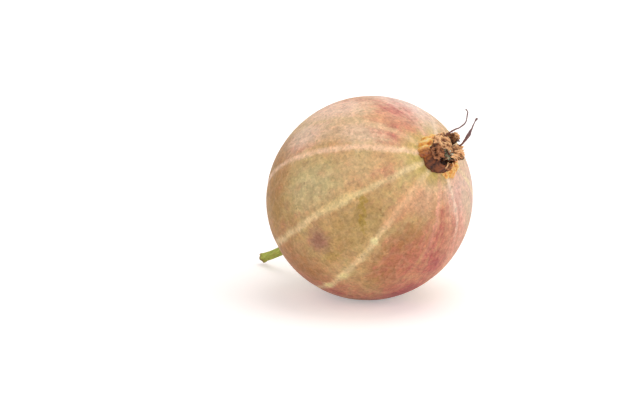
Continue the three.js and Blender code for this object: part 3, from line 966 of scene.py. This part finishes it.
def makeTube():
    # a cup: up the outside, over the torn rim and down to its floor
    s = tubeShape
    top, wall, floor = s["height"], s["wall"], s["floor"]
    rings = [(s["foot"] - 0.06, -0.3), (s["foot"], -0.16), (s["foot"] + 0.02, -0.05)]
    for i in range(1, s["wallRings"]):
        share = i / s["wallRings"]
        radius = s["foot"] + (s["mouth"] - s["foot"]) * share
        radius += (s["belly"] - s["foot"]) * math.sin(share * math.pi)
        rings.append((radius, top * share))
    rings += [(s["mouth"], top), (s["mouth"] - wall * 0.5, top + 0.06), (s["mouth"] - wall, top)]
    for i in range(1, s["innerRings"]):
        rings.append((s["mouth"] - wall - 0.03 * i, top - (top - floor) * i / s["innerRings"]))
    rings += [(s["mouth"] - wall - 0.3, floor), (0.7, floor + 0.06), (0.3, floor + 0.1),
              (0.08, floor + 0.1)]
    tube = stackRings("witheredTube", s["segments"], rings)
    furrow, = vertexNumbers(tube, "furrow")
    depth = []
    for vertex in tube.data.vertices:
        co = vertex.co / mm
        turn = Vector((co.x, co.y, 0)).normalized()
        bearing = math.atan2(co.y, co.x)
        wave = 0.8 - 3.6 * abs(noise.noise(turn * 3.4 + Vector((0, 0, co.z * 0.6))))
        wave = 0.5 * wave + 1.1 * noise.noise(turn * 8 + Vector((0, 0, co.z * 1.5 + 3)))
        wave += 0.3 * math.sin(bearing * 13 + 4 * noise.noise(turn * 1.6 + Vector((0, 0, co.z * 0.5))))
        crease = 0.7 - 3 * abs(noise.noise(Vector((turn.x * 6, turn.y * 6, co.z * 5 + 2))))
        crease += noise.noise(Vector((turn.x * 13, turn.y * 13, co.z * 9)))
        depth.append((wave, crease))
        furrow[vertex.index].value = 0.5 + 0.5 * max(-1, min(1, 0.8 * wave + 0.7 * crease - 0.1))

    for vertex, (wave, crease) in zip(tube.data.vertices, depth):
        co = vertex.co / mm
        radius = math.hypot(co.x, co.y)
        turn = Vector((co.x, co.y, 0)).normalized()
        bearing = math.degrees(math.atan2(co.y, co.x))
        share = min(1, max(0, co.z / top))
        reach = s["bulgeAtFoot"] + (s["bulgeAtMouth"] - s["bulgeAtFoot"]) * share
        tuck = 0.75 + 0.25 * math.sin(math.pi * min(1, share * 1.6 + 0.05))
        off = angleFrom(bearing, s["bulgeAngle"]) / s["bulgeHalf"]
        bulge = reach * tuck * math.exp(-off * off)
        relief = s["furrowDepth"] * wave + bulge + s["wrinkle"] * crease
        moved = radius + smooth(*s["outside"], radius) * relief
        off = angleFrom(bearing, s["tearAngle"]) / s["tearHalf"]
        torn = s["tearDepth"] * math.exp(-off ** 4)
        torn += 0.14 * noise.noise(turn * 3.3) + 0.1 * noise.noise(turn * 9)
        lower = torn * smooth(0.5 * top, top, co.z) * smooth(1.0, 1.2, radius)
        vertex.co = (turn * moved + Vector((0, 0, co.z - lower))) * mm
    tube.data.update()
    applyModifier(tube, "SUBSURF", levels=1, render_levels=1)
    settle(tube, flowerMatrix)
    return tube


def makeTubeHide():
    # Shrivelled flower tube, dry and leathery: purple-brown furrows with painted shade in them, paler
    # dull ridges, and rust and amber sides where it is thin; its inside is painted near black as shade.
    look = tubeLook
    material, tree = newMaterial("shrivelled flower tube")
    flower = ownSpace(tree, flowerMatrix)
    long = addNode(tree, "Mapping", {"Scale": (1, 1, 0.3)}, {"Vector": flower})
    grain = addNode(tree, "TexNoise", {"Scale": 1 / look["grainSize"], "Detail": 4.0, "Roughness": 0.7},
                    {"Vector": long})
    furrow = addNode(tree, "Attribute", {"attribute_name": "furrow"}).outputs["Fac"]
    # furrows darker than the ridges: painted shade
    ridge = addNode(tree, "Math", {"operation": "MULTIPLY_ADD", 1: 0.9}, {0: grain, 2: furrow})
    ridge = addNode(tree, "MapRange", {"From Min": 0.6, "From Max": 1.5}, {"Value": ridge})
    darkSide, amberSide, rustSide = [
        addNode(tree, "Mix", {"data_type": "RGBA", 6: low, 7: high}, {0: ridge})
        for low, high in look["sides"]]
    amber = addNode(tree, "VectorMath", {"operation": "DOT_PRODUCT", 1: look["toAmber"]}, {0: flower})
    amber = addNode(tree, "Math", {"operation": "MULTIPLY_ADD", 1: 0.9}, {0: grain, 2: amber})
    amber = addNode(tree, "MapRange", {**softEnds, "From Min": -0.5, "From Max": 0.6}, {"Value": amber})
    color = addNode(tree, "Mix", {"data_type": "RGBA"}, {0: amber, 6: darkSide, 7: amberSide})
    rust = addNode(tree, "VectorMath", {"operation": "DOT_PRODUCT", 1: look["toRust"]}, {0: flower})
    rust = addNode(tree, "MapRange", {**softEnds, "From Min": 1.0, "From Max": 1.6}, {"Value": rust})
    color = addNode(tree, "Mix", {"data_type": "RGBA"}, {0: rust, 6: color, 7: rustSide})
    # inside the cup painted near black: painted shade
    inside = addNode(tree, "VectorMath", {"operation": "MULTIPLY", 1: (1, 1, 0)}, {0: flower})
    inside = addNode(tree, "VectorMath", {"operation": "LENGTH"}, {0: inside})
    color = layOver(tree, color, inside, look["inside"])
    addSurface(tree, color, grain, (0.6, 0.03), {"Roughness": 0.6, "Specular IOR Level": 0.4})
    return material


# Each withered lobe: its angle round the flower, its width, how dark it is, and the line that
# its middle follows, as (radius, height) over the seat.
sepals = [
    {"angle": -93, "width": 1.8, "dark": 0.88,
     "line": [(1.5, 0.9), (1.84, 1.2), (1.86, 1.6), (1.54, 1.9), (1.1, 1.84), (0.74, 1.64)]},
    {"angle": -152, "width": 2.1, "dark": 0.1,
     "line": [(1.45, 0.9), (1.74, 1.42), (1.7, 1.88), (1.15, 2.14), (0.4, 2.1), (-0.35, 1.95)]},
    {"angle": 134, "width": 1.5, "dark": 0.1,
     "line": [(1.4, 1.0), (1.66, 1.6), (1.82, 2.08), (1.6, 2.46), (1.1, 2.46)]},
    {"angle": 74, "width": 1.5, "dark": 0.08,
     "line": [(1.45, 0.9), (1.8, 1.36), (1.78, 1.8), (1.34, 2.1), (0.6, 2.2), (0.05, 2.14)]},
    {"angle": -18, "width": 0.8, "dark": 0.7,
     "line": [(1.42, 0.8), (1.54, 1.06), (1.44, 1.3), (1.18, 1.38)]},
]
sepalShape = {
    "rows": 56,
    "columns": 34,
    "steps": 60,  # points on the middle line
    "wrap": 1.5,  # radius that the lobe is curved to, side to side
    "thickness": 0.06,
    "crumple": 0.22,
    "pleats": 4,
    "pleatDepth": 0.06,
}


def makeSepal(index, sepal):
    s = sepalShape
    pick(None)
    bpy.ops.mesh.primitive_grid_add(x_subdivisions=s["columns"], y_subdivisions=s["rows"], size=mm,
                                    location=(0, 0, 0))
    lobe = bpy.context.object
    lobe.name = "sepal" + str(index)
    along, across, relief, dark = vertexNumbers(lobe, "along", "across", "relief", "dark")
    line = smoothRoute([(radius, 0, height) for radius, height in sepal["line"]], s["steps"])
    seed = Vector((index * 7.3, index * 2.9, index * 5.1))
    turn = Matrix.Rotation(math.radians(sepal["angle"]), 3, "Z")
    for vertex in lobe.data.vertices:
        u, v = vertex.co.x / mm * 2, vertex.co.y / mm + 0.5
        along[vertex.index].value = v
        across[vertex.index].value = u
        place = v * (s["steps"] - 1)
        k = min(int(place), s["steps"] - 2)
        middle = line[k].lerp(line[k + 1], place - k)
        ahead = (line[k + 1] - line[k]).normalized()
        outward = Vector((ahead.z, 0, -ahead.x))
        edge = 0.86 + 0.14 * math.sin(v * 19 + index) * smooth(0.2, 0.6, v)
        shape = (0.95 + 0.1 * math.sin(v * math.pi)) * (1 - 0.62 * smooth(0.55, 1.0, v)) * edge
        ragged = 1 + 0.22 * noise.noise(Vector((u * 0.6, v * 6, 0)) + seed) * smooth(0.15, 0.5, v)
        side = u * sepal["width"] / 2 * shape * ragged
        bend = side / s["wrap"]
        curl = 0.16 * u * u * smooth(0.2, 0.8, v)
        sway = 2 * noise.noise(seed + Vector((v * 2, 0, 0)))
        pleat = s["pleatDepth"] * math.cos(u * s["pleats"] * math.pi + sway)
        spot = Vector((side * 1.7, v * 3.6, 0)) + seed
        ridge = 0.75 - 3.2 * abs(noise.noise(spot))
        crack = max(0, 1 - 9 * abs(noise.noise(spot * 1.35 + Vector((3.3, 0, 0)))))
        crack += 0.7 * max(0, 1 - 7 * abs(noise.noise(spot * 2.9)))
        fine = 0.5 - 2.4 * abs(noise.noise(spot * 2.7 + Vector((0, 4.1, 0))))
        crumple = s["crumple"] * (0.95 * ridge + 0.6 * fine - 0.22 * crack) * smooth(0.05, 0.35, v)
        relief[vertex.index].value = 0.34 * ridge + 0.36 * fine - 0.3 * crack + 0.06
        dark[vertex.index].value = sepal["dark"]
        offset = pleat * smooth(0, 0.2, v) + crumple - curl
        point = Vector((middle.x - s["wrap"] * (1 - math.cos(bend)), s["wrap"] * math.sin(bend),
                        middle.z))
        point += Matrix.Rotation(bend, 3, "Z") @ outward * offset
        point.z += 0.1 * noise.noise(Vector((u * 2.2, index, 0))) * smooth(0.85, 1, v)
        vertex.co = turn @ point * mm
    lobe.data.update()
    closeUp(lobe)
    applyModifier(lobe, "SOLIDIFY", thickness=s["thickness"] * mm, offset=0)
    applyModifier(lobe, "SUBSURF", levels=1, render_levels=1)
    return lobe


dryLooks = {
    # "fibres" is how many run side by side across a part, and a part's own "dark" number leads
    # from the plain colours to the burnt ones. "foot" and "edge" are layers, and "tip" is how far
    # the edge takes in the tip.
    "sepal": {
        "dark": "#622A0E", "pale": "#FFC890", "burntDark": "#30130A", "burntPale": "#9A5832",
        "foot": ((0.36, 0.08), 0.9, "#5A3029"), "edge": ((0.95, 1.15), 0.8, "#381B13"), "tip": 0.92,
        "mottleSize": 0.4, "fibres": 8, "roughness": 0.65, "glow": 0.15,
    },
    "filament": {
        "dark": "#5A4048", "pale": "#8A6A62", "burntDark": "#8A5A3E", "burntPale": "#D2A27C",
        "foot": ((0.7, 0.15), 0.9, "#7A4026"), "edge": ((0.95, 1.15), 0.8, "#351A14"), "tip": 0.0,
        "mottleSize": 0.3, "fibres": 3, "roughness": 0.6, "glow": 0.1,
    },
    "style": {
        "dark": "#B0A88C", "pale": "#EEE8CC", "burntDark": "#B0A88C", "burntPale": "#EEE8CC",
        "foot": ((0.2, 0.0), 0.9, "#8A7A60"), "edge": ((0.95, 1.15), 0.8, "#8A7A60"), "tip": 0.0,
        "mottleSize": 0.25, "fibres": 3, "roughness": 0.6, "glow": 0.2,
    },
}


def makeDryFlesh(name, look):
    # shared build of the dry brown parts; look gives the colours and scales of one of them
    material, tree = newMaterial(name)
    along, across, relief, dark = [
        addNode(tree, "Attribute", {"attribute_name": name}).outputs["Fac"]
        for name in ("along", "across", "relief", "dark")]
    mottle = addNode(tree, "TexNoise", {"Scale": 1 / look["mottleSize"], "Detail": 5.0, "Roughness": 0.7},
                     {"Vector": ownSpace(tree, Matrix())})
    lengthwise = addNode(tree, "CombineXYZ", None, {0: across, 1: along})
    lengthwise = addNode(tree, "Mapping", {"Scale": (look["fibres"], 1.6, 1)}, {"Vector": lengthwise})
    fibres = addNode(tree, "TexNoise", {"Scale": 1.0, "Detail": 3.0, "Roughness": 0.75},
                     {"Vector": lengthwise})
    mixed = addNode(tree, "Math", {"operation": "ADD"}, {0: mottle, 1: fibres})
    # ridges paler and cracks darker, over the mottle and fibres: painted highlight and painted shade
    light = addNode(tree, "Math", {"operation": "MULTIPLY_ADD", 1: 0.9}, {0: relief, 2: mixed})
    light = addNode(tree, "MapRange", {"From Min": 0.68, "From Max": 1.3}, {"Value": light})
    plain = addNode(tree, "Mix", {"data_type": "RGBA", 6: look["dark"], 7: look["pale"]}, {0: light})
    burnt = addNode(tree, "Mix", {"data_type": "RGBA", 6: look["burntDark"], 7: look["burntPale"]},
                    {0: light})
    color = addNode(tree, "Mix", {"data_type": "RGBA"}, {0: dark, 6: plain, 7: burnt})
    color = layOver(tree, color, along, look["foot"])
    # darker along the edges and the tip: painted shade
    edge = addNode(tree, "Math", {"operation": "ABSOLUTE"}, {0: across})
    tip = addNode(tree, "Math", {"operation": "MULTIPLY", 1: look["tip"]}, {0: along})
    edge = addNode(tree, "Math", {"operation": "MAXIMUM"}, {0: edge, 1: tip})
    edge = addNode(tree, "Math", {"operation": "MULTIPLY_ADD", 1: 0.3}, {0: fibres, 2: edge})
    color = layOver(tree, color, edge, look["edge"])
    addSurface(tree, color, mixed, (0.6, 0.03), {
        "Roughness": look["roughness"], "Specular IOR Level": 0.35, "Subsurface Weight": look["glow"],
        "Subsurface Radius": (1.0, 0.5, 0.2), "Subsurface Scale": 0.15 * mm})
    return material


# Routes of the dried threads, in the flower's own frame, and their radius at foot and tip.
# "swell" thickens a thread at shares of its length, as a dead anther does, and "tan" is how
# much of the paler colours it has.
stamens = [
    {"route": [(-0.78, 0.03, 0.62), (-0.95, 0.03, 1.2), (-1.28, 0.03, 1.75), (-1.46, 0.06, 2.3),
               (-1.52, 0.4, 2.95), (-1.53, 0.85, 3.45), (-1.72, 1.3, 3.85), (-2.2, 1.6, 4.1),
               (-2.62, 1.7, 4.36), (-2.9, 1.6, 4.4)], "radius": (0.1, 0.055), "swell": [(0.99, 0.035)]},
    {"route": [(-0.07, 0.76, 0.62), (-0.08, 0.98, 1.45), (-0.12, 1.3, 2.1), (-0.25, 1.46, 2.65),
               (-0.58, 1.7, 3.15), (-1.01, 2.0, 3.64), (-1.4, 2.2, 4.06), (-1.8, 2.48, 4.48)],
     "radius": (0.11, 0.055),
     "swell": [(0.47, 0.05), (0.54, 0.08), (0.61, 0.1), (0.68, 0.06), (0.98, 0.06)]},
    {"route": [(0.74, 0.33, 0.62), (0.86, 0.3, 1.2), (0.98, 0.32, 1.5), (1.06, 0.4, 1.72)],
     "radius": (0.09, 0.06), "swell": [(0.95, 0.04)], "tan": 1},
    {"route": [(0.6, -0.36, 0.62), (0.64, -0.4, 1.1), (0.66, -0.44, 1.6)],
     "radius": (0.09, 0.06), "swell": [(0.92, 0.04)], "tan": 1},
    {"route": [(-0.15, -0.78, 0.62), (-0.17, -0.82, 1.1), (-0.2, -0.9, 1.6)],
     "radius": (0.1, 0.06), "swell": [(0.93, 0.05)], "tan": 0.4},
]
threadShape = {"points": 34, "wobble": 0.025, "ripple": 0.008, "swellLength": 0.045, "seed": 40}


def makeStamen(index, stamen):
    s = threadShape
    rng = random.Random(s["seed"] + index)
    route = smoothRoute(stamen["route"], s["points"])
    for i, point in enumerate(route):
        free = smooth(0.15, 0.4, i / len(route))
        point += Vector([rng.uniform(-1, 1) for _ in range(3)]) * s["wobble"] * free
    thick, thin = stamen["radius"]

    def radiusAt(share):
        radius = thick + (thin - thick) * share + s["ripple"] * math.sin(share * 31 + index)
        for place, extra in stamen["swell"]:
            radius += extra * math.exp(-((share - place) / s["swellLength"]) ** 2)
        return radius

    thread = makeStrand("stamen" + str(index), route, radiusAt)
    dark, = vertexNumbers(thread, "dark")
    for number in dark:
        number.value = stamen.get("tan", 0)
    applyModifier(thread, "SUBSURF", levels=1, render_levels=1)
    return thread


styleShape = {
    "stem": [(0, 0, 0.55), (0.08, -0.02, 1.1), (0.2, -0.06, 1.6)],
    "branches": [[(0.18, -0.05, 1.46), (0.38, -0.06, 1.8), (0.56, -0.02, 2.02)],
                 [(0.18, -0.05, 1.46), (0.16, -0.2, 1.85), (0.2, -0.3, 2.1)]],
    "stemRadius": 0.17,
    "branchRadius": 0.1,
    "tipRadius": 0.06,
    "knob": 0.03,  # how much thicker a branch is at its end
    "points": 14,
    "hairs": 60,
    "hairPoints": 8,
    "hairRoots": (3, 13),  # between these points of the stem
    "hairLength": 0.78,
    "hairRadius": 0.042,
    "seed": 7,
}


def makeStyle():
    # the forked style with its fine hairs, joined into one piece
    s = styleShape
    rng = random.Random(s["seed"])
    stemRoute = smoothRoute(s["stem"], s["points"])

    def branchRadius(share):
        knob = s["knob"] * math.exp(-((share - 0.96) / 0.06) ** 2)
        return s["branchRadius"] + (s["tipRadius"] - s["branchRadius"]) * share + knob

    pieces = [makeStrand("hairyStyle", stemRoute, lambda share: s["stemRadius"] * (1 - 0.2 * share))]
    for i, branch in enumerate(s["branches"]):
        pieces.append(makeStrand("branch" + str(i), smoothRoute(branch, s["points"]), branchRadius))
    for i in range(s["hairs"]):
        root = stemRoute[rng.randrange(*s["hairRoots"])]
        bearing = rng.uniform(-math.pi, math.pi)
        side = Vector((math.cos(bearing), math.sin(bearing), 0))
        length = s["hairLength"] * rng.uniform(0.6, 1.25)
        rise = Vector((0, 0, length * rng.uniform(0.2, 0.8)))
        tip = root + side * (s["stemRadius"] + length * 0.75) + rise
        middle = root + side * (s["stemRadius"] + length * 0.35) + Vector((0, 0, length * 0.05))
        route = smoothRoute([root + side * s["stemRadius"] * 0.6, middle, tip], s["hairPoints"])
        pieces.append(makeStrand("hair" + str(i), route,
                                 lambda share: s["hairRadius"] * (1 - 0.75 * share), 1))
    return joinPieces(pieces)


# Loose dry fibres at the torn side of the flower, each with the sepal that it belongs to and how
# pale it is.
fibres = [
    {"sepal": 4, "pale": 0.3, "route": [(0.55, 0.06, 1.72), (0.86, 0.5, 1.74), (1.12, 0.95, 1.44)]},
    {"sepal": 4, "pale": 0.0, "route": [(0.54, 0.1, 1.76), (0.84, 0.62, 1.8), (1.1, 1.12, 1.56)]},
    {"sepal": 4, "pale": 0.35, "route": [(0.5, 0.16, 1.84), (0.79, 0.74, 1.88), (1.03, 1.28, 1.7)]},
    {"sepal": 4, "pale": 0.1, "route": [(0.46, 0.22, 1.88), (0.71, 0.84, 1.94), (0.93, 1.42, 1.8)]},
    {"sepal": 4, "pale": 0.3, "route": [(0.4, 0.28, 1.94), (0.62, 0.92, 2.0), (0.8, 1.54, 1.9)]},
    {"sepal": 4, "pale": 0.05, "route": [(0.34, 0.34, 1.98), (0.52, 0.98, 2.06), (0.62, 1.62, 2.0)]},
    {"sepal": 4, "pale": 0.25, "route": [(0.26, 0.4, 2.04), (0.38, 1.04, 2.14), (0.4, 1.68, 2.1)]},
    {"sepal": 4, "pale": 0.2, "route": [(0.62, 0.0, 1.64), (0.9, 0.36, 1.66), (1.14, 0.76, 1.3)]},
    {"sepal": 5, "pale": 0.3, "route": [(1.42, 0.2, 0.8), (1.54, 0.2, 1.1), (1.42, 0.14, 1.36),
                                        (1.2, 0.08, 1.44)]},
    {"sepal": 5, "pale": 0.3, "route": [(1.3, -0.62, 0.8), (1.44, -0.66, 1.1), (1.3, -0.56, 1.32),
                                        (1.05, -0.44, 1.4)]},
]
fibreShape = {
    "points": 18,
    "footRadius": 0.085,
    "taper": 0.045,  # how much thinner the tip is
    "along": 0.6,  # coloured like this share of the lobe's length
}


def makeFibre(fibre):
    s = fibreShape
    strand = makeStrand("fibre", smoothRoute(fibre["route"], s["points"]),
                        lambda share: s["footRadius"] - s["taper"] * share)
    relief, = vertexNumbers(strand, "relief")
    for number in relief:
        number.value = fibre["pale"]
    for number in strand.data.attributes["along"].data:
        number.value = s["along"]
    return strand


bpy.context.scene.view_settings.view_transform = "Standard"
makeCamera()
makeLights()
makeTable()
print("stage ready")

berry = makeBerry()
finishPiece(berry, "berry", makeBerrySkin())
stalk = makeStalk()
finishPiece(stalk, "stalk", makeStalkBark())
print("fruit and stalk ready")

collar = makeCollar()
finishPiece(collar, "calyx_collar", makeAmber())
tube = makeTube()
finishPiece(tube, "calyx_tube", makeTubeHide())

# Withered sepals: dry and papery, tan where they fold over as painted highlight, dark at the foot, and
# dark at the edges and in the cracks as painted shade.
dryLobe = makeDryFlesh("withered sepal", dryLooks["sepal"])
for index, sepal in enumerate(sepals, 1):
    lobe = makeSepal(index, sepal)
    lobe = joinPieces([lobe] + [makeFibre(fibre) for fibre in fibres if fibre["sepal"] == index])
    settle(lobe, flowerMatrix)
    finishPiece(lobe, "sepal_" + str(index), dryLobe)

# Withered threads: brown and stiff at the foot, greyer and thinner to the tip.
dryThread = makeDryFlesh("withered thread", dryLooks["filament"])
for index, stamen in enumerate(stamens, 1):
    thread = makeStamen(index, stamen)
    settle(thread, flowerMatrix)
    finishPiece(thread, "stamen_" + str(index), dryThread)

# Dry hairy style: pale grey-green, like old grass.
style = makeStyle()
settle(style, flowerMatrix)
finishPiece(style, "style", makeDryFlesh("dry hairy style", dryLooks["style"]))
print("flower ready")
